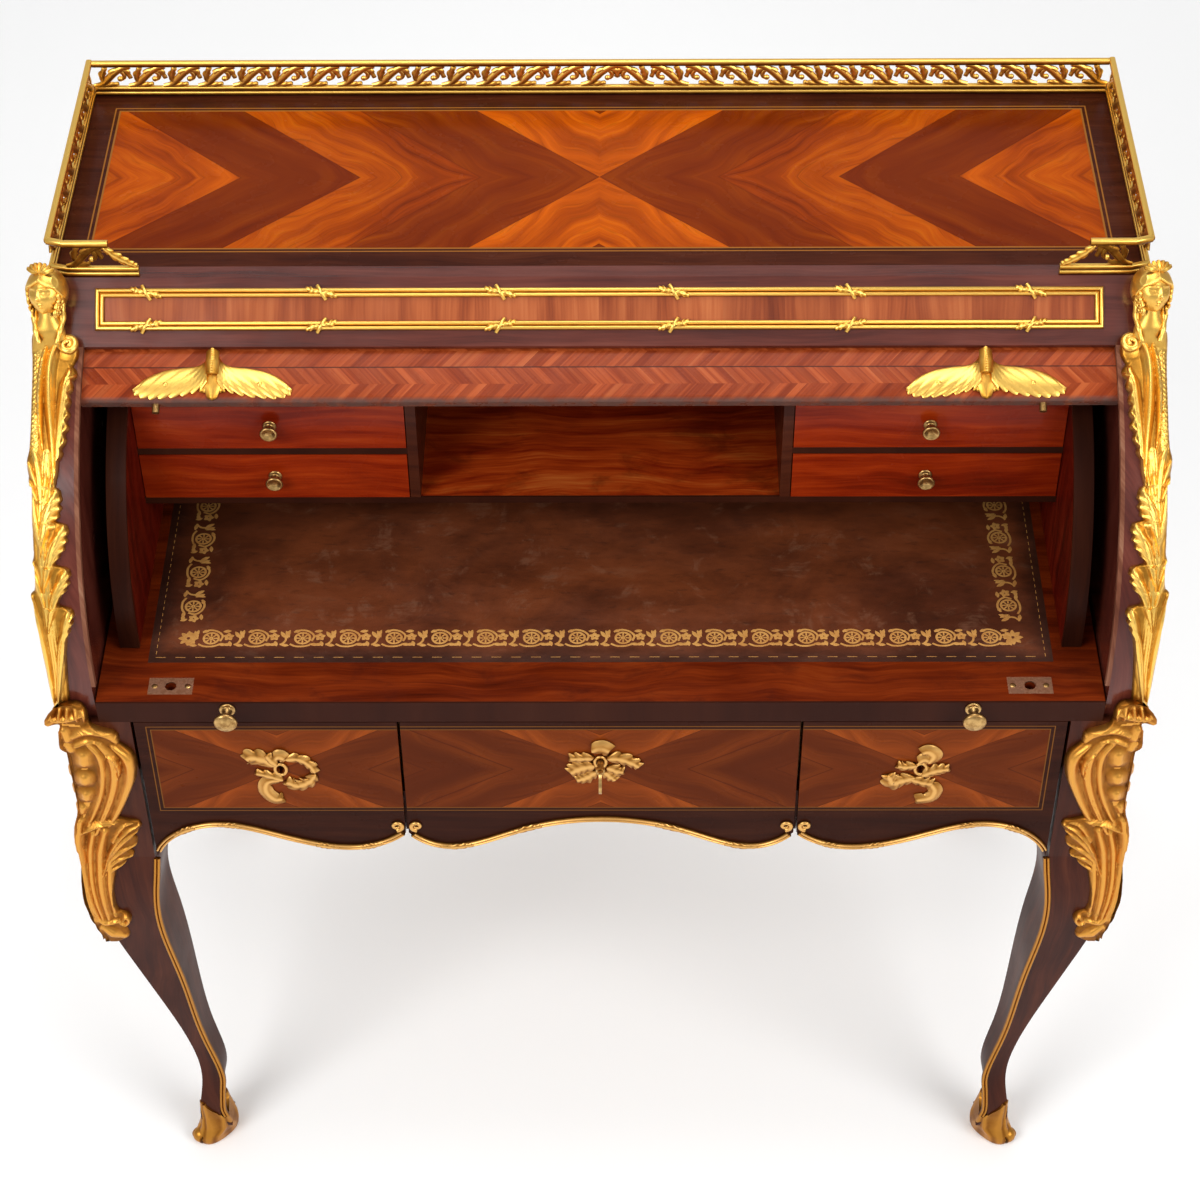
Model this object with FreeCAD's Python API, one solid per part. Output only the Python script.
"""Cylinder desk with a pull-out writing slide, a nest of small drawers and gilt mounts.

Millimetres. X runs to the sitter's right, Y to the back and Z up. Shapes are drawn with Y counted
from the drawer fronts; place() then sets the origin on the floor under the middle of the desk's box.
Angles about the cylinder's axis count from straight back, up and over to the front.
"""
import FreeCAD, Part
import math
import os

Vector = FreeCAD.Vector

# Case
case_width = 1030.0
case_depth = 535.0
frieze_top = 713.0
top_thickness = 28.0
panel_thickness = 29.0
back_thickness = 15.0
rail_thickness = 20.0
dust_thickness = 13.0
dust_front_gap = 1.0

# Legs and their shoes
block_width = 61.0
block_depth = 60.0
block_height = 203.0
leg_tip_height = 25.0
sabot_height = 70.0
trim_width = 5.0
trim_proud = 2.0
trim_top_gap = 2.0

# Drawers under the writing slide
front_thickness = 22.0
front_gap = 3.0
front_top_gap = 1.0
partition_offset = 195.0
partition_thickness = 20.0
runner_drop = 123.0
runner_thickness = 12.0
runner_width = 15.0
guide_inset = 4.0
guide_rise = 30.0
box_height = 95.0
box_wall = 10.0
box_bottom = 6.0
box_side_clearance = 1.5
box_back_clearance = 15.0
apron_trim_height = 7.0
apron_trim_depth = 4.0
escutcheon_depth = 3.0

# Locks and key
keyhole_drop = 56.0
side_keyhole_drop = 66.0
side_keyhole_shift = 10.5
lock_half_width = 30.0
lock_depth = 14.0
lock_wall = 2.0
lock_top_gap = 3.0
lock_below_key = 24.0
bolt_half_width = 11.0
bolt_setback = 5.0
bolt_depth = 5.0
bolt_throw = 9.0
bolt_clearance = 0.3
catch_clearance = 1.0
key_radius = 3.0
key_clearance = 0.05
key_reach = 40.0
key_bow_radius = 12.0
key_bow_hole = 6.5
key_bow_thickness = 3.0
key_neck = 2.0
key_collar_radius = 4.5
key_collar_length = 4.0
key_collar_gap = 3.0
key_end_gap = 0.5
key_bit_reach = 9.0
key_bit_thickness = 2.5
key_bit_clearance = 1.0
keyhole_radius = 4.2
keyhole_slot = 3.6

# Writing slide
slide_thickness = 26.5
slide_back_gap = 15.0
slide_end_gap = 2.0
leather_thickness = 2.0
leather_margin = 44.0
leather_front = 54.0
leather_back_margin = 40.0
slide_knob_inset = 126.0
slide_knob_rise = 18.0
strike_inset = 70.0
strike_length = 43.0
strike_width = 22.0
strike_thickness = 1.5
strike_hole_radius = 5.5
strike_hole_depth = 12.0

# Cylinder
axis_rise = 17.5
shell_setback = 12.0
shell_back_gap = 24.0
shell_top_gap = 7.0
shell_thickness = 20.0
shell_span = 79.0
shell_end_gap = 2.0
open_lip_angle = 121.2
lip_round = 5.0
arm_thickness = 7.0
arm_rim_width = 24.0
arm_seat_gap = 0.2
arm_spoke_angles = (56.0, 80.5, 105.0)
arm_rim_angles = (48.0, 113.0)
hub_radius = 15.0
pivot_radius = 6.0
pivot_clearance = 0.05
pivot_flange_radius = 13.0
pivot_flange_thickness = 3.0
pivot_overrun = 1.0
locating_pin_radius = 3.5
locating_pin_length = 8.0
bead_thickness = 4.0
bead_clearance = 1.0
bead_foot_angle = 180.0
handle_inset = 124.0
handle_half_width = 73.5
handle_height = 49.0
handle_thickness = 3.5
handle_lip_margin = 2.4
handle_lug_height = 15.0
handle_lug_width = 10.0
handle_reach_angle = 10.0

# Fascia under the top
band_proud = 7.0
fascia_gap = 3.0
fascia_angle = 110.5
fascia_strip = 16.0
frame_end_margin = 44.0
frame_lower_margin = 15.0
frame_height = 40.0
frame_width = 9.0
frame_depth = 4.0

# Nest of drawers
nest_forward = 90.0
nest_backward = 150.0
nest_shell_gap = 9.6
nest_wall = 19.0
nest_side_gap = 17.0
nest_slide_gap = 1.0
nest_shelf_rise = 83.5
nest_board = 8.0
nest_top_thickness = 10.0
pigeonhole_half_width = 177.0
nest_partition = 10.0
nest_drawer_front = 10.0
nest_drawer_wall = 6.0
nest_drawer_clearance = 1.0
nest_drawer_back_gap = 7.0
cleat_length = 80.0
cleat_height = 48.0

# Gallery
gallery_height = 40.0
gallery_thickness = 3.0
gallery_top_rail = 5.5
gallery_base_rail = 10.5
gallery_rail_depth = 6.5
gallery_pitch = 35.0
gallery_cant_x = 18.0
gallery_cant_y = 8.0
void_shift = 4.0
cut_overrun = 1.0
return_top_length = 41.0
return_base_length = 68.0
return_leaf_step = 8.0
return_void_shares = (0.3, 0.8)

# Corner mounts
stem_overhang = 10.0
stem_depth = 12.0
stem_wrap = 23.0
stem_head_angle = 104.5
stem_foot_angle = 190.0
bust_tilt = 30.0
bust_inset = 4.0
bust_forward = 2.0
bust_rise = 10.0
cup_rim_rise = 5.5
knee_depth = 11.0
knee_sunk = 12.0

# Places that follow from the sizes above
half_width = case_width / 2
inner_half = half_width - panel_thickness
block_inner = half_width - block_width
leg_length = frieze_top - block_height
slide_top = frieze_top + slide_thickness
slide_half = inner_half - slide_end_gap
axis_z = slide_top + axis_rise
back_inner = case_depth - back_thickness
rail_inner = case_depth - rail_thickness
slide_depth = rail_inner - slide_back_gap
slide_knob_offset = slide_half - slide_knob_inset
strike_offset = slide_half - strike_inset
dust_underside = frieze_top - dust_thickness
runner_top = frieze_top - runner_drop
runner_bottom = runner_top - runner_thickness
dust_front = front_thickness + dust_front_gap
lock_top = dust_underside - lock_top_gap
nest_half = inner_half - nest_side_gap
nest_inner = nest_half - nest_wall
shelf_top = slide_top + nest_shelf_rise

# The open shell reaches from its setback behind the drawer fronts to its gap before the back
shell_rear_angle = open_lip_angle - shell_span
shell_reach = back_inner - shell_back_gap - shell_setback
shell_radius = shell_reach / (1 + math.cos(math.radians(shell_rear_angle)))
axis_y = shell_setback + shell_radius
shell_half = inner_half - shell_end_gap
shell_inner = shell_radius - shell_thickness
band_radius = shell_radius + band_proud
handle_offset = shell_half - handle_inset
top_underside = axis_z + shell_radius + shell_top_gap
top_height = top_underside + top_thickness

# The nest stands inside the shell, and two drawers share its height
nest_front = axis_y - nest_forward
nest_back = axis_y + nest_backward
nest_top = axis_z + math.sqrt((shell_inner - nest_shell_gap) ** 2 - nest_backward**2)
nest_ceiling = nest_top - nest_top_thickness
nest_opening = (nest_ceiling - nest_board - shelf_top) / 2
blade_bottom = shelf_top + nest_opening
blade_top = blade_bottom + nest_board

nodes = {}


def keep(name, *solids):
    """Store one solid, or a group of separate solids, under its node name."""
    nodes[name] = solids[0] if len(solids) == 1 else Part.makeCompound(list(solids))


def box(x, y, z):
    """Block between the low and high values of x, y and z."""
    size = (x[1] - x[0], y[1] - y[0], z[1] - z[0])
    return Part.makeBox(*size, Vector(x[0], y[0], z[0]))


def mirrored(shape):
    """The same piece for the other end of the desk."""
    return shape.mirror(Vector(0, 0, 0), Vector(1, 0, 0))


def turned_round(shape):
    """The same piece for the back of the desk."""
    return shape.mirror(Vector(0, case_depth / 2, 0), Vector(0, 1, 0))


def line(a, b):
    return Part.LineSegment(a, b).toShape()


def arc(a, middle, b):
    return Part.Arc(a, middle, b).toShape()


def curve(points, closed=False):
    """Smooth curve through a few points."""
    spline = Part.BSplineCurve()
    spline.interpolate(points, closed)
    return spline.toShape()


def solid(edges, along):
    """Closed outline carried straight along a vector."""
    return Part.Face(Part.Wire(edges)).extrude(along)


def polygon(points, along):
    return Part.Face(Part.makePolygon(list(points) + [points[0]])).extrude(along)


def polar(radius, degrees, x):
    """Point about the cylinder's axis."""
    turn = math.radians(degrees)
    return Vector(x, axis_y + radius * math.cos(turn), axis_z + radius * math.sin(turn))


def ring_sector(inner, outer, angles, x):
    """Part of a tube about the cylinder's axis."""
    low, high = angles
    middle = (low + high) / 2
    edges = [
        arc(polar(outer, low, x[0]), polar(outer, middle, x[0]), polar(outer, high, x[0])),
        line(polar(outer, high, x[0]), polar(inner, high, x[0])),
        arc(polar(inner, high, x[0]), polar(inner, middle, x[0]), polar(inner, low, x[0])),
        line(polar(inner, low, x[0]), polar(outer, low, x[0])),
    ]
    return solid(edges, Vector(x[1] - x[0], 0, 0))


def turned(profile, place):
    """Turned knob on an axis that points to the front: pairs of reach and radius."""
    points = [Vector(radius, -reach, 0) for reach, radius in profile]
    face = Part.Face(Part.makePolygon(points + [points[0]]))
    knob = face.revolve(Vector(0, 0, 0), Vector(0, 1, 0), 360)
    knob.translate(place)
    return knob


def round_bar(radius, start, along):
    return Part.makeCylinder(radius, along.Length, start, along)


def section(points, z):
    """Closed outline at one height, for lofted legs and shoes."""
    corners = [Vector(x, y, z) for x, y in points]
    return Part.makePolygon(corners + [corners[0]])


def square(x, y):
    return [(x[0], y[0]), (x[1], y[0]), (x[1], y[1]), (x[0], y[1])]


# Legs: share of the leg's length, then insets of the outer and inner side from the end of the desk,
# then the front and back of the leg behind the drawer fronts, then the slant of its inner side
leg_shape = (
    (1.0, 0.0, block_width, 0.0, block_depth, 0.0),
    (0.955, -3.5, 65.5, -3.0, 61.0, 3.0),
    (0.88, -6.0, 60.0, -6.0, 60.0, 5.0),
    (0.745, 6.0, 64.5, -3.0, 56.0, 6.0),
    (0.49, 41.0, 73.5, 7.0, 50.0, 5.0),
    (0.335, 59.0, 82.0, 13.0, 44.0, 4.0),
    (0.2, 64.0, 89.0, 12.0, 40.0, 2.0),
    (leg_tip_height / leg_length, 60.0, 91.0, 6.0, 38.0, 0.0),
)
# Shoes: share of the height, then the insets and the front and back as for the legs
sabot_shape = (
    (1.0, 60.0, 92.0, 8.0, 42.0),
    (0.6, 57.0, 94.0, 5.0, 43.0),
    (0.25, 47.0, 95.0, -2.0, 45.0),
    (0.0, 44.0, 95.0, -4.0, 45.0),
)
sabot_corner_cut = 14.0


def make_leg():
    wires = []
    for share, outer, inner, front, back, slant in leg_shape:
        x = (half_width - inner, half_width - outer)
        corners = [(x[0] + slant, front), (x[1], front), (x[1], back), (x[0], back)]
        wires.append(section(corners, share * leg_length))
    block = box((block_inner, half_width), (0, block_depth), (leg_length, frieze_top))
    return Part.makeLoft(wires, True).fuse(block)


def make_sabot(leg):
    """Cast shoe whose toe points out along the diagonal, hollowed by the leg that stands in it."""
    wires = []
    cut = sabot_corner_cut
    for share, outer, inner, front, back in sabot_shape:
        low = half_width - inner
        high = half_width - outer
        corners = [
            (low + cut, front),
            (high, front),
            (high, back - cut),
            (high - cut, back),
            (low, back),
            (low, front + cut),
        ]
        wires.append(section(corners, share * sabot_height))
    return Part.makeLoft(wires, True).cut(leg)


def make_leg_trim(leg):
    """Gilt bead on the inner front edge of the leg, from the apron to the shoe."""
    proud = trim_proud
    wires = []
    for share, outer, inner, front, back, slant in leg_shape:
        corner = half_width - inner + slant
        x = (corner - proud, corner + trim_width - proud)
        y = (front - proud, front + trim_width - proud)
        wires.append(section(square(x, y), share * leg_length))
    bead = Part.makeLoft(wires, True)
    reach = box((0, case_width), (-block_depth, block_depth), (sabot_height, leg_length - trim_top_gap))
    return bead.common(reach).cut(leg)


right_leg = make_leg()
right_sabot = make_sabot(right_leg)
right_trim = make_leg_trim(right_leg)
keep("leg_front_right", right_leg)
keep("leg_front_left", mirrored(right_leg))
rear_leg = turned_round(right_leg)
keep("legs_rear", rear_leg, mirrored(rear_leg))
sabot_pair = [right_sabot, turned_round(right_sabot)]
keep("sabots", *sabot_pair, *[mirrored(shoe) for shoe in sabot_pair])
keep("leg_trims", right_trim, mirrored(right_trim))


# Frieze: rails, partitions, runners and the dust board that carries the slide
def arched_rail(start, end, ends_drop, crest_drop, along):
    """Rail with an arched lower edge between two points on its upper edge."""
    down = Vector(0, 0, -ends_drop)
    crest = (start + end) / 2 - Vector(0, 0, crest_drop)
    edges = [
        line(start, end),
        line(end, end + down),
        arc(end + down, crest, start + down),
        line(start + down, start),
    ]
    return solid(edges, along)


side_rail_ends_drop = 185.0
side_rail_crest_drop = 143.0
side_inner = half_width - rail_thickness
side_rail = arched_rail(
    Vector(side_inner, block_depth, frieze_top),
    Vector(side_inner, case_depth - block_depth, frieze_top),
    side_rail_ends_drop,
    side_rail_crest_drop,
    Vector(rail_thickness, 0, 0),
)
keep("side_rails", side_rail, mirrored(side_rail))
keep(
    "back_rail",
    arched_rail(
        Vector(-block_inner, rail_inner, frieze_top),
        Vector(block_inner, rail_inner, frieze_top),
        side_rail_ends_drop,
        side_rail_crest_drop,
        Vector(0, rail_thickness, 0),
    ),
)

side_keyhole_x = (partition_offset + block_inner) / 2 - side_keyhole_shift
keyholes = {
    "left": Vector(-side_keyhole_x, 0, frieze_top - side_keyhole_drop),
    "center": Vector(0, 0, frieze_top - keyhole_drop),
    "right": Vector(side_keyhole_x, 0, frieze_top - side_keyhole_drop),
}
bolt_front = front_thickness + bolt_setback
dust_z = (dust_underside, frieze_top)
dust_board = box((-block_inner, block_inner), (dust_front, rail_inner), dust_z)
dust_board = dust_board.fuse(
    box((-side_inner, side_inner), (block_depth, case_depth - block_depth), dust_z)
).removeSplitter()
for keyhole in keyholes.values():
    catch_half = bolt_half_width + catch_clearance
    dust_board = dust_board.cut(
        box(
            (keyhole.x - catch_half, keyhole.x + catch_half),
            (bolt_front - catch_clearance, bolt_front + bolt_depth + catch_clearance),
            (dust_underside, dust_underside + bolt_throw),
        )
    )
keep("dust_board", dust_board)

partition_x = (partition_offset - partition_thickness / 2, partition_offset + partition_thickness / 2)
partition = box(partition_x, (dust_front, rail_inner), (runner_bottom, dust_underside))
keep("drawer_partitions", partition, mirrored(partition))

guide_x = block_inner - guide_inset
runner_z = (runner_bottom, runner_top)
inner_runners = [
    box((partition_x[0] - runner_width, partition_x[0]), (dust_front, rail_inner), runner_z),
    box((partition_x[1], partition_x[1] + runner_width), (dust_front, rail_inner), runner_z),
]
outer_runner = polygon(
    [
        Vector(guide_x - runner_width, block_depth, runner_bottom),
        Vector(side_inner, block_depth, runner_bottom),
        Vector(side_inner, block_depth, runner_top + guide_rise),
        Vector(guide_x, block_depth, runner_top + guide_rise),
        Vector(guide_x, block_depth, runner_top),
        Vector(guide_x - runner_width, block_depth, runner_top),
    ],
    Vector(0, case_depth - 2 * block_depth, 0),
)
runner_set = inner_runners + [outer_runner]
keep("drawer_runners", *runner_set, *[mirrored(runner) for runner in runner_set])


# Upper case: end panels, back, fascia and top
fascia_foot = polar(band_radius, fascia_angle, 0)
fascia_rise = top_height - fascia_foot.z
fascia_back = fascia_foot.y + fascia_rise + fascia_strip
under_radius = shell_radius + fascia_gap
under_back_z = axis_z + math.sqrt(under_radius**2 - (fascia_back - axis_y) ** 2)
under_back_angle = math.degrees(math.atan2(under_back_z - axis_z, fascia_back - axis_y))
band_foot_angle = 180 + math.degrees(math.asin((axis_z - frieze_top) / band_radius))


def fascia_underside(x):
    """Edges from the front of the fascia in under it to its back."""
    middle = (fascia_angle + under_back_angle) / 2
    front = polar(under_radius, fascia_angle, x)
    back = polar(under_radius, under_back_angle, x)
    rebate = line(polar(band_radius, fascia_angle, x), front)
    return [rebate, arc(front, polar(under_radius, middle, x), back)]


def make_end_panel():
    x = inner_half
    foot = polar(band_radius, band_foot_angle, x)
    middle = polar(band_radius, (band_foot_angle + fascia_angle) / 2, x)
    corners = [
        Vector(x, fascia_back, under_back_z),
        Vector(x, fascia_back, top_underside),
        Vector(x, case_depth, top_underside),
        Vector(x, case_depth, frieze_top),
        foot,
    ]
    edges = [arc(foot, middle, polar(band_radius, fascia_angle, x))]
    edges += fascia_underside(x)
    edges += [line(a, b) for a, b in zip(corners, corners[1:])]
    return solid(edges, Vector(panel_thickness, 0, 0))


def make_fascia():
    x = -half_width
    foot = polar(band_radius, fascia_angle, x)
    corners = [
        Vector(x, fascia_back, under_back_z),
        Vector(x, fascia_back, top_height),
        Vector(x, foot.y + fascia_rise, top_height),
        foot,
    ]
    edges = fascia_underside(x)
    edges += [line(a, b) for a, b in zip(corners, corners[1:])]
    return solid(edges, Vector(case_width, 0, 0))


right_panel = make_end_panel()
fascia = make_fascia()
keep("end_panels", right_panel, mirrored(right_panel))
keep("fascia", fascia)
keep("case_back", box((-inner_half, inner_half), (back_inner, case_depth), (frieze_top, top_underside)))
keep("top_board", box((-half_width, half_width), (fascia_back, case_depth), (top_underside, top_height)))


def on_fascia(x, up, out):
    """Point on the fascia's slope, up from its foot and out from its face."""
    level = math.sqrt(0.5)
    return Vector(x, fascia_foot.y + (up - out) * level, fascia_foot.z + (up + out) * level)


def make_fascia_frame():
    """Mitred gilt frame lying on the fascia."""
    rings = []
    for inset in (0.0, frame_width):
        x = half_width - frame_end_margin - inset
        low = frame_lower_margin + inset
        high = frame_lower_margin + frame_height - inset
        corners = [on_fascia(-x, low, 0), on_fascia(x, low, 0), on_fascia(x, high, 0), on_fascia(-x, high, 0)]
        rings.append(polygon(corners, on_fascia(0, 0, frame_depth) - on_fascia(0, 0, 0)))
    return rings[0].cut(rings[1])


keep("fascia_frame", make_fascia_frame())


# Nest of drawers and the pigeonhole
def make_nest_side():
    x = nest_inner
    foot_z = slide_top + nest_slide_gap
    reach = math.hypot(nest_front - axis_y, nest_top - axis_z)
    top_angle = math.degrees(math.atan2(nest_top - axis_z, nest_front - axis_y))
    foot_angle = 180 + math.degrees(math.asin((axis_z - foot_z) / reach))
    foot = polar(reach, foot_angle, x)
    front = arc(foot, polar(reach, (top_angle + foot_angle) / 2, x), polar(reach, top_angle, x))
    corners = [
        polar(reach, top_angle, x),
        Vector(x, nest_back, nest_top),
        Vector(x, nest_back, foot_z),
        foot,
    ]
    edges = [front] + [line(a, b) for a, b in zip(corners, corners[1:])]
    return solid(edges, Vector(nest_wall, 0, 0))


nest_side = make_nest_side()
keep("nest_sides", nest_side, mirrored(nest_side))

shelf_y = (nest_front, nest_back - nest_board)
full_x = (-nest_inner, nest_inner)
opening_x = (pigeonhole_half_width + nest_partition, nest_inner)
blade = box(opening_x, shelf_y, (blade_bottom, blade_top))
keep(
    "nest_shelves",
    box(full_x, shelf_y, (shelf_top - nest_board, shelf_top)),
    box(full_x, shelf_y, (nest_ceiling, nest_top)),
    blade,
    mirrored(blade),
)
divider = box((pigeonhole_half_width, opening_x[0]), shelf_y, (shelf_top, nest_ceiling))
keep("nest_partitions", divider, mirrored(divider))
keep("nest_back", box(full_x, (nest_back - nest_board, nest_back), (shelf_top - nest_board, nest_top)))
cleat_z = (slide_top + nest_slide_gap, slide_top + nest_slide_gap + cleat_height)
cleat = box((nest_half, inner_half), (nest_back - cleat_length, nest_back), cleat_z)
keep("nest_cleats", cleat, mirrored(cleat))

nest_knob_profile = (
    (0, 0), (0, 5.0), (1.5, 5.0), (2.5, 3.2), (7.0, 3.2), (9.5, 7.0), (11.5, 8.5), (13.5, 7.5), (12.5, 0),
)


def make_nest_drawer(floor):
    x = (opening_x[0] + nest_drawer_clearance, opening_x[1] - nest_drawer_clearance)
    y = (nest_front, nest_back - nest_board - nest_drawer_back_gap)
    z = (floor, floor + nest_opening - nest_drawer_clearance)
    inside = box(
        (x[0] + nest_drawer_wall, x[1] - nest_drawer_wall),
        (y[0] + nest_drawer_front, y[1] - nest_drawer_wall),
        (z[0] + nest_drawer_wall, z[1] + nest_drawer_wall),
    )
    return box(x, y, z).cut(inside)


for level, floor in (("lower", shelf_top), ("upper", blade_top)):
    drawer = make_nest_drawer(floor)
    knob_place = Vector((opening_x[0] + opening_x[1]) / 2, nest_front, floor + nest_opening / 2)
    knob = turned(nest_knob_profile, knob_place)
    for side, turn in (("right", lambda shape: shape), ("left", mirrored)):
        keep(f"nest_drawer_{level}_{side}", turn(drawer))
        keep(f"nest_knob_{level}_{side}", turn(knob))


# Cylinder: the curved shell, its arms and pivots, handles and locating pins
shell_angles = (shell_rear_angle, open_lip_angle)
shell = ring_sector(shell_inner, shell_radius, shell_angles, (-shell_half, shell_half))
lip_points = [polar(radius, open_lip_angle, 0) for radius in (shell_inner, shell_radius)]
lip_edges = [
    edge
    for edge in shell.Edges
    if any(math.hypot(edge.CenterOfMass.y - p.y, edge.CenterOfMass.z - p.z) < 0.1 for p in lip_points)
]
keep("cylinder_shell", shell.makeFillet(lip_round, lip_edges))

arm_middle = (nest_half + inner_half - pivot_flange_thickness) / 2
arm_x = (arm_middle - arm_thickness / 2, arm_middle + arm_thickness / 2)
rim_outer = shell_inner - arm_seat_gap
rim_inner = rim_outer - arm_rim_width


def make_arm():
    """Quadrant arm: a hub on the pivot, three spokes and a rim seated under the shell."""
    along = Vector(arm_thickness, 0, 0)
    arm = round_bar(hub_radius, polar(0, 0, arm_x[0]), along)
    half = arm_rim_width / 2
    for angle in arm_spoke_angles:
        turn = math.radians(angle)
        across = Vector(0, -math.sin(turn), math.cos(turn)) * half
        near = polar(0, 0, arm_x[0])
        far = polar(rim_inner + half, angle, arm_x[0])
        arm = arm.fuse(polygon([near - across, near + across, far + across, far - across], along))
    arm = arm.fuse(ring_sector(rim_inner, rim_outer, arm_rim_angles, arm_x))
    bore = round_bar(pivot_radius + pivot_clearance, polar(0, 0, arm_x[0]), along)
    return arm.cut(bore).removeSplitter()


arm = make_arm()
keep("cylinder_arms", arm, mirrored(arm))
flange = round_bar(
    pivot_flange_radius,
    polar(0, 0, inner_half - pivot_flange_thickness),
    Vector(pivot_flange_thickness, 0, 0),
)
pivot_start = arm_x[0] - pivot_overrun
pin = round_bar(pivot_radius, polar(0, 0, pivot_start), Vector(inner_half - pivot_start, 0, 0))
pivot = flange.fuse(pin).removeSplitter()
keep("cylinder_pivots", pivot, mirrored(pivot))

bead = ring_sector(
    shell_radius + bead_clearance,
    band_radius,
    (fascia_angle, bead_foot_angle),
    (inner_half - bead_thickness, inner_half),
)
keep("cylinder_beads", bead, mirrored(bead))

pin_turn = math.radians(open_lip_angle)
pin_along = Vector(0, -math.sin(pin_turn), math.cos(pin_turn)) * locating_pin_length
lip_middle = shell_radius - shell_thickness / 2
locating_pin = round_bar(locating_pin_radius, polar(lip_middle, open_lip_angle, strike_offset), pin_along)
keep("locating_pins", locating_pin, mirrored(locating_pin))

handle_angle = open_lip_angle - math.degrees((handle_height / 2 + handle_lip_margin) / shell_radius)


def on_shell(across, up, out):
    """Point by the right handle: along the desk, up the shell and out from it."""
    turn = math.radians(handle_angle)
    place = polar(shell_radius + out, handle_angle, handle_offset + across)
    return place + Vector(0, math.sin(turn), -math.cos(turn)) * up


def make_handle():
    """Pair of leaf wings with an upright lug between them, bent to the shell."""
    w = handle_half_width
    h = handle_height / 2
    wing = ((0.09 * w, h), (0.27 * w, 0.35 * h), (0.68 * w, 0.25 * h), (w, -0.62 * h))
    under = ((w, -0.62 * h), (0.6 * w, -0.86 * h), (0.22 * w, -0.45 * h), (0.12 * w, -0.45 * h))
    tongue = ((0.12 * w, -0.45 * h), (0.1 * w, -0.88 * h), (0.0, -h))
    edges = []
    for side in (1, -1):
        for points in (wing, under, tongue):
            edges.append(curve([on_shell(side * u, v, -handle_thickness) for u, v in points]))
    crown = wing[0]
    ends = [on_shell(side * crown[0], crown[1], -handle_thickness) for side in (1, -1)]
    edges.append(line(*ends))
    out = on_shell(0, 0, 3 * handle_thickness) - on_shell(0, 0, 0)
    outline = Part.Face(Part.Wire(Part.__sortEdges__(edges))).extrude(out)
    skin = ring_sector(
        shell_radius,
        shell_radius + handle_thickness,
        (handle_angle - handle_reach_angle, handle_angle + handle_reach_angle),
        (handle_offset - w, handle_offset + w),
    )
    plate = outline.common(skin)
    lug_half = handle_lug_width / 2
    lug = [(-lug_half, 0.9 * h), (lug_half, 0.9 * h), (lug_half, -0.1 * h), (-lug_half, -0.1 * h)]
    lug.append(lug[0])
    base = Part.makePolygon([on_shell(u, v, handle_thickness / 2) for u, v in lug])
    tip = Part.makePolygon([on_shell(0.8 * u, 0.25 * h + 0.6 * v, handle_lug_height) for u, v in lug])
    return plate.fuse(Part.makeLoft([base, tip], True)).removeSplitter()


handle = make_handle()
keep("cylinder_handles", handle, mirrored(handle))


# Writing slide with its leather, knobs and strike plates
strike_y = axis_y - math.sqrt(lip_middle**2 - (axis_z - slide_top) ** 2)
leather_x = (-slide_half + leather_margin, slide_half - leather_margin)
leather_y = (leather_front, slide_depth - leather_back_margin)
leather_z = (slide_top - leather_thickness, slide_top)
leather = box(leather_x, leather_y, leather_z)
slide_board = box((-slide_half, slide_half), (0, slide_depth), (frieze_top, slide_top)).cut(leather)
plates = []
for offset in (strike_offset, -strike_offset):
    plate = box(
        (offset - strike_length / 2, offset + strike_length / 2),
        (strike_y - strike_width / 2, strike_y + strike_width / 2),
        (slide_top - strike_thickness, slide_top),
    )
    down = Vector(0, 0, -strike_hole_depth)
    hole = round_bar(strike_hole_radius, Vector(offset, strike_y, slide_top), down)
    slide_board = slide_board.cut(plate).cut(hole)
    plates.append(plate.cut(hole))
keep("writing_slide", slide_board)
keep("writing_leather", leather)
keep("strike_plates", *plates)
slide_knob_profile = (
    (0, 0), (0, 7.5), (2.0, 7.5), (3.0, 5.0), (11.0, 4.5), (13.5, 9.5), (17.0, 11.5), (20.0, 10.5), (22.0, 0),
)
slide_knob = turned(slide_knob_profile, Vector(slide_knob_offset, 0, frieze_top + slide_knob_rise))
keep("slide_knobs", slide_knob, mirrored(slide_knob))


# Frieze drawers: share of the front's width and drop of the shaped lower edge below the frieze top
half_apron = ((0.0, 165.0), (0.11, 188.0), (0.29, 163.0), (0.5, 146.0))
middle_apron = half_apron + tuple((1.0 - share, drop) for share, drop in half_apron[-2::-1])
outer_apron = ((0.0, 165.0), (0.253, 189.0), (0.49, 172.0), (0.756, 154.0), (0.915, 170.0), (1.0, 202.0))
half_gap = front_gap / 2
front_x = {
    "center": (-partition_offset + half_gap, partition_offset - half_gap),
    "right": (partition_offset + half_gap, block_inner - front_gap),
}
box_x = {
    "center": (-partition_x[0] + box_side_clearance, partition_x[0] - box_side_clearance),
    "right": (partition_x[1] + box_side_clearance, guide_x - box_side_clearance),
}


def apron_points(x, shape, y, lift):
    width = x[1] - x[0]
    return [Vector(x[0] + share * width, y, frieze_top - drop + lift) for share, drop in shape]


def keyhole_cut(place, radius):
    """Round hole with a slot below it, for the key's stem and bit."""
    along = Vector(0, 2 * front_thickness, 0)
    start = place - Vector(0, front_thickness, 0)
    slot = box(
        (place.x - keyhole_slot / 2, place.x + keyhole_slot / 2),
        (start.y, start.y + along.y),
        (place.z - key_bit_reach - key_bit_clearance, place.z),
    )
    return round_bar(radius, start, along).fuse(slot)


def make_front(x, shape, keyhole):
    lower = apron_points(x, shape, 0, 0)
    top = frieze_top - front_top_gap
    corners = [lower[-1], Vector(x[1], 0, top), Vector(x[0], 0, top), lower[0]]
    edges = [curve(lower)] + [line(a, b) for a, b in zip(corners, corners[1:])]
    return solid(edges, Vector(0, front_thickness, 0)).cut(keyhole_cut(keyhole, keyhole_radius))


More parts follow.
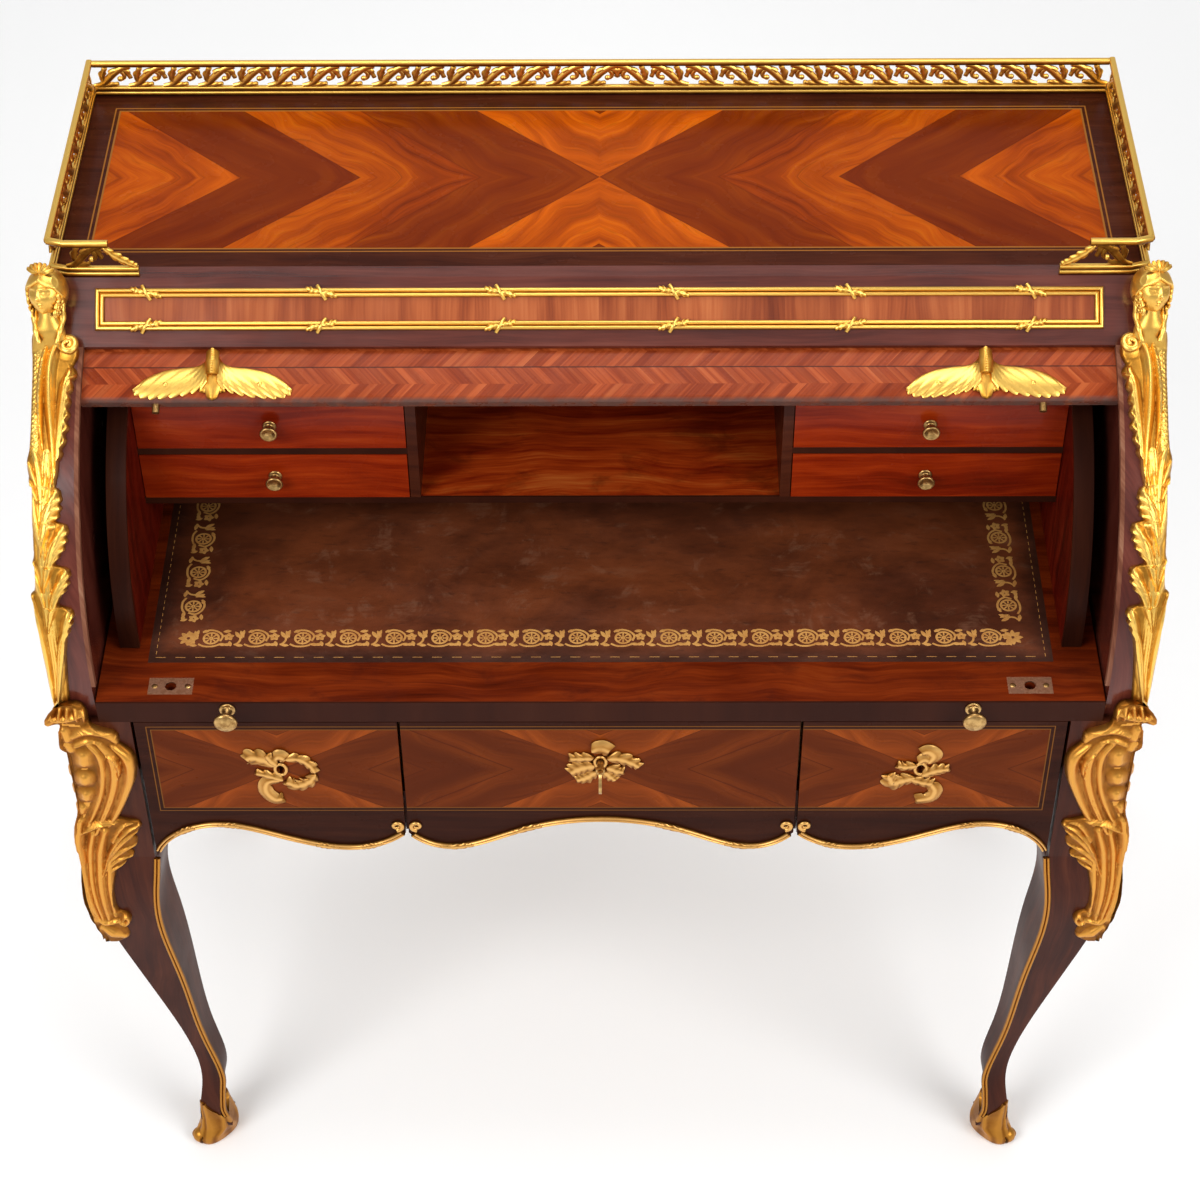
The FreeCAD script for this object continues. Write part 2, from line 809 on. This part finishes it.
def make_apron_trim(x, shape):
    lower = apron_points(x, shape, 0, 0)
    upper = apron_points(x, shape, 0, apron_trim_height)
    edges = [curve(lower), line(lower[-1], upper[-1]), curve(upper), line(upper[0], lower[0])]
    return solid(edges, Vector(0, -apron_trim_depth, 0))


def make_escutcheon(keyhole, outline, side):
    points = [Vector(keyhole.x + side * u, 0, keyhole.z + v) for u, v in outline]
    plate = Part.Face(Part.Wire(curve(points, True))).extrude(Vector(0, -escutcheon_depth, 0))
    return plate.cut(keyhole_cut(keyhole, keyhole_radius))


def make_drawer_box(x):
    """Sides, back and bottom in one, open to the front board."""
    y = (front_thickness, rail_inner - box_back_clearance)
    z = (runner_top, runner_top + box_height)
    inside = box(
        (x[0] + box_wall, x[1] - box_wall),
        (y[0] - box_wall, y[1] - box_wall),
        (z[0] + box_bottom, z[1] + box_wall),
    )
    return box(x, y, z).cut(inside)


def make_lock(keyhole):
    """Lock case with its bolt slot above and a bush for the key at its back."""
    x = (keyhole.x - lock_half_width, keyhole.x + lock_half_width)
    y = (front_thickness, front_thickness + lock_depth)
    z = (keyhole.z - lock_below_key, lock_top)
    case = box(x, y, z)
    inside = box(
        (x[0] + lock_wall, x[1] - lock_wall),
        (y[0], y[1] - lock_wall),
        (z[0] + lock_wall, z[1] - lock_wall),
    )
    gap = bolt_clearance
    slot = box(
        (keyhole.x - bolt_half_width - gap, keyhole.x + bolt_half_width + gap),
        (bolt_front - gap, bolt_front + bolt_depth + gap),
        (z[1] - lock_wall, z[1]),
    )
    bush = round_bar(key_radius + key_clearance, Vector(keyhole.x, y[0], keyhole.z), Vector(0, lock_depth, 0))
    return case.cut(inside).cut(slot).cut(bush)


def make_bolt(keyhole):
    foot = keyhole.z + key_bit_reach + key_radius
    x = (keyhole.x - bolt_half_width, keyhole.x + bolt_half_width)
    return box(x, (bolt_front, bolt_front + bolt_depth), (foot, lock_top))


center_cartouche = (
    (-37, 9), (-20, 13), (-9, 24), (4, 27), (16, 16), (37, 6),
    (27, -4), (14, -12), (0, -21), (-14, -17), (-33, -11),
)
side_cartouche = (
    (-36, 9), (-14, 17), (2, 40), (14, 24), (36, 3), (24, -12),
    (12, -18), (6, -41), (-8, -33), (-9, -16), (-28, -10),
)
outer_front = make_front(front_x["right"], outer_apron, keyholes["right"])
outer_box = make_drawer_box(box_x["right"])
outer_trim = make_apron_trim(front_x["right"], outer_apron)
outer_plate = make_escutcheon(keyholes["right"], side_cartouche, -1)
outer_lock = make_lock(keyholes["right"])
outer_bolt = make_bolt(keyholes["right"])
for side, turn in (("right", lambda shape: shape), ("left", mirrored)):
    keep(f"drawer_front_{side}", turn(outer_front))
    keep(f"drawer_box_{side}", turn(outer_box))
    keep(f"drawer_mounts_{side}", turn(outer_trim), turn(outer_plate))
    keep(f"lock_case_{side}", turn(outer_lock))
    keep(f"lock_bolt_{side}", turn(outer_bolt))
keep("drawer_front_center", make_front(front_x["center"], middle_apron, keyholes["center"]))
keep("drawer_box_center", make_drawer_box(box_x["center"]))
keep(
    "drawer_mounts_center",
    make_apron_trim(front_x["center"], middle_apron),
    make_escutcheon(keyholes["center"], center_cartouche, 1),
)
keep("lock_case_center", make_lock(keyholes["center"]))
keep("lock_bolt_center", make_bolt(keyholes["center"]))


def make_key():
    """Key with an open bow standing upright, a collar and a bit inside the lock."""
    hole = keyholes["center"]
    bow_half = Vector(key_bow_thickness / 2, 0, 0)
    bow_middle = hole + Vector(0, key_bow_radius - key_reach, 0)
    bow = round_bar(key_bow_radius, bow_middle - bow_half, bow_half * 2)
    bow = bow.cut(round_bar(key_bow_hole, bow_middle - bow_half, bow_half * 2))
    stem_end = front_thickness + lock_depth - key_end_gap
    stem_start = 2 * key_bow_radius - key_reach - key_neck
    stem = round_bar(key_radius, hole + Vector(0, stem_start, 0), Vector(0, stem_end - stem_start, 0))
    collar_start = hole + Vector(0, stem_start + key_collar_gap, 0)
    collar = round_bar(key_collar_radius, collar_start, Vector(0, key_collar_length, 0))
    bit_half = key_bit_thickness / 2
    bit = box((-bit_half, bit_half), (bolt_front, bolt_front + bolt_depth), (hole.z - key_bit_reach, hole.z))
    return bow.fuse(stem).fuse(collar).fuse(bit).removeSplitter()


keep("drawer_key", make_key())


# Gallery: rails with a pierced band of running scrolls between them
pierced_low = top_height + gallery_base_rail
pierced_high = top_height + gallery_height - gallery_top_rail
pierced_middle = (pierced_low + pierced_high) / 2
large_void = (((-9, -3), (-2, 7), (9, 4)), ((9, 4), (5, -2), (4, -7)), ((4, -7), (-4, -8), (-9, -3)))
small_void = (((9, -8), (13, -4), (17, -8)), ((17, -8), (13, -9), (9, -8)))


def gallery_run(start, along, length, mirror_at_middle):
    """Straight gallery run: rails above and below, scroll voids through the band between."""
    side = Vector(-along.y, along.x, 0)
    up = Vector(0, 0, 1)

    def at(u, w, z):
        return start + along * u + side * w + up * (z - start.z)

    def bar(low, high, depth):
        near = (gallery_thickness - depth) / 2
        far = near + depth
        corners = [at(0, near, low), at(length, near, low), at(length, far, low), at(0, far, low)]
        return polygon(corners, up * (high - low))

    band = bar(pierced_low, pierced_high, gallery_thickness)
    count = int(length // gallery_pitch)
    first = (length - (count - 1) * gallery_pitch) / 2
    voids = []
    for number in range(count):
        middle = first + number * gallery_pitch
        flip = -1 if mirror_at_middle and middle > length / 2 else 1
        for void in (large_void, small_void):
            edges = []
            for points in void:
                places = [(middle + flip * (u - void_shift), pierced_middle + v) for u, v in points]
                edges.append(arc(*[at(u, -cut_overrun, z) for u, z in places]))
            voids.append(solid(edges, side * (gallery_thickness + 2 * cut_overrun)))
    band = band.cut(Part.makeCompound(voids))
    base = bar(top_height, pierced_low, gallery_rail_depth)
    rail = bar(pierced_high, top_height + gallery_height, gallery_rail_depth)
    return band.fuse([base, rail]).removeSplitter()


rail_half = (gallery_rail_depth - gallery_thickness) / 2
back_run_y = case_depth - rail_half - gallery_thickness
cant_y = fascia_foot.y + fascia_rise + gallery_cant_y
corner_gap = rail_half + gallery_thickness + rail_half
back_start = Vector(-half_width + corner_gap, back_run_y, top_height)
keep("gallery_back", gallery_run(back_start, Vector(1, 0, 0), case_width - 2 * corner_gap, True))


def make_gallery_side():
    start = Vector(half_width - rail_half, cant_y, top_height)
    run = gallery_run(start, Vector(0, 1, 0), case_depth - cant_y, False)
    front = fascia_foot.y + fascia_rise
    outer = half_width - gallery_cant_x
    inset = gallery_rail_depth
    cant = [
        Vector(half_width, cant_y, top_height),
        Vector(outer, front, top_height),
        Vector(outer - inset / 2, front + inset, top_height),
        Vector(half_width - inset, cant_y, top_height),
    ]
    corner = polygon(cant, Vector(0, 0, gallery_height))
    foot = outer - return_base_length
    shoulder = outer - return_top_length
    z_top = top_height + gallery_height

    def at(x, z):
        return Vector(x, front, z)

    leaf_foot = at(foot + return_leaf_step, pierced_low)
    leaf_middle = at(foot + 0.45 * (shoulder - foot), pierced_low + 0.25 * (pierced_high - pierced_low))
    leaf_top = at(shoulder, pierced_high)
    corners = [leaf_top, at(shoulder, z_top), at(outer, z_top), at(outer, top_height), at(foot, top_height)]
    corners += [at(foot, pierced_low), leaf_foot]
    edges = [line(a, b) for a, b in zip(corners, corners[1:])]
    edges.append(arc(leaf_foot, leaf_middle, leaf_top))
    plate = solid(edges, Vector(0, gallery_thickness, 0))
    for share in return_void_shares:
        middle = at(outer - share * return_top_length, pierced_middle)
        void = [arc(*[middle + Vector(u, 0, v) for u, v in points]) for points in large_void]
        plate = plate.cut(solid(void, Vector(0, gallery_thickness, 0)))
    return run.fuse([corner, plate]).removeSplitter()


gallery_side = make_gallery_side()
keep("gallery_right", gallery_side)
keep("gallery_left", mirrored(gallery_side))


# Knee mounts: one leaf outline seen from the front and from the side, wrapped round the leg.
# Pairs are the inset from the end of the desk and the drop below the frieze top
knee_outline = (
    ((-19, -20), (0, -19 - cup_rim_rise), (21, -20)),
    ((21, -20), (26.5, 2)),
    ((26.5, 2), (46, 13), (56, 53), (37, 139)),
    ((37, 139), (56, 142)),
    ((56, 142), (43, 183), (18, 230), (29, 278)),
    ((29, 278), (24, 300), (7, 322)),
    ((7, 322), (-8, 273), (-11, 203), (-12, 139), (-1, 58), (-8, 13), (-19, -20)),
)


def knee_face(place):
    """Closed leaf outline; place turns an inset and a drop into a point."""
    edges = []
    for points in knee_outline:
        ends = [place(inset, drop) for inset, drop in points]
        edges.append(line(*ends) if len(ends) == 2 else curve(ends))
    return Part.Face(Part.Wire(edges))


def make_knee_mount(leg):
    """Front leaf and side leaf joined along the corner of the leg and seated on it."""
    out = knee_depth
    through = knee_depth + knee_sunk
    front = knee_face(lambda inset, drop: Vector(half_width - inset, -out, frieze_top - drop))
    side = knee_face(lambda inset, drop: Vector(half_width + out, inset, frieze_top - drop))
    leaves = front.extrude(Vector(0, through, 0)).fuse(side.extrude(Vector(-through, 0, 0)))
    return leaves.cut(leg).cut(right_panel).cut(right_trim)


def largest(shape):
    return max(shape.Solids, key=lambda piece: piece.Volume)


knee_mount = largest(make_knee_mount(right_leg))
keep("knee_mounts", knee_mount, mirrored(knee_mount))

# Corner figures: a tapering stem down the curved corner with a bust at its head.
# Pairs are the inset from the end of the desk and the share of the height from slide to fascia
stem_outline = ((4, 0.03), (10, 0.21), (18, 0.46), (16, 0.67), (23, 0.845), (34, 0.955), (22, 1.025))
bust_profile = (
    (0, -14), (20, -14), (22, -2), (21, 6), (14, 14), (11, 19),
    (11, 24), (16, 31), (20, 41), (20, 52), (14, 65), (0, 72),
)


def make_corner_figure():
    rise = fascia_foot.z - slide_top
    inner = []
    for inset, share in stem_outline:
        inner.append(Vector(half_width - inset, -block_depth, slide_top + share * rise))
    outer_x = half_width + stem_overhang
    head = Vector(outer_x, -block_depth, inner[-1].z)
    foot = Vector(outer_x, -block_depth, inner[0].z)
    edges = [curve(inner), line(inner[-1], head), line(head, foot), line(foot, inner[0])]
    outline = solid(edges, Vector(0, case_depth, 0))
    skin = ring_sector(
        band_radius - stem_wrap,
        band_radius + stem_depth,
        (stem_head_angle, stem_foot_angle),
        (inner_half, outer_x),
    )
    stem = outline.common(skin)
    points = [Vector(radius, 0, height) for radius, height in bust_profile]
    bust = Part.Face(Part.makePolygon(points + [points[0]])).revolve(Vector(0, 0, 0), Vector(0, 0, 1), 360)
    bust.rotate(Vector(0, 0, 0), Vector(1, 0, 0), -bust_tilt)
    bust.translate(Vector(half_width - bust_inset, fascia_foot.y - bust_forward, fascia_foot.z + bust_rise))
    return largest(stem.fuse(bust).cut(right_panel).cut(fascia).removeSplitter())


corner_figure = make_corner_figure()
keep("corner_figures", corner_figure, mirrored(corner_figure))


def place():
    """Set every piece in the desk's frame and write it out."""
    os.makedirs("parts", exist_ok=True)
    front_reach = -key_reach
    back_reach = rear_leg.optimalBoundingBox(False).YMax
    front_y = -(front_reach + back_reach) / 2
    print("drawer fronts at", front_y, "axis", front_y + axis_y, axis_z)
    for name, shape in nodes.items():
        shape.translate(Vector(0, front_y, 0))
        shape.exportStep(f"parts/{name}.step")
        print(name, len(shape.Solids), round(shape.Volume), shape.isValid())


place()
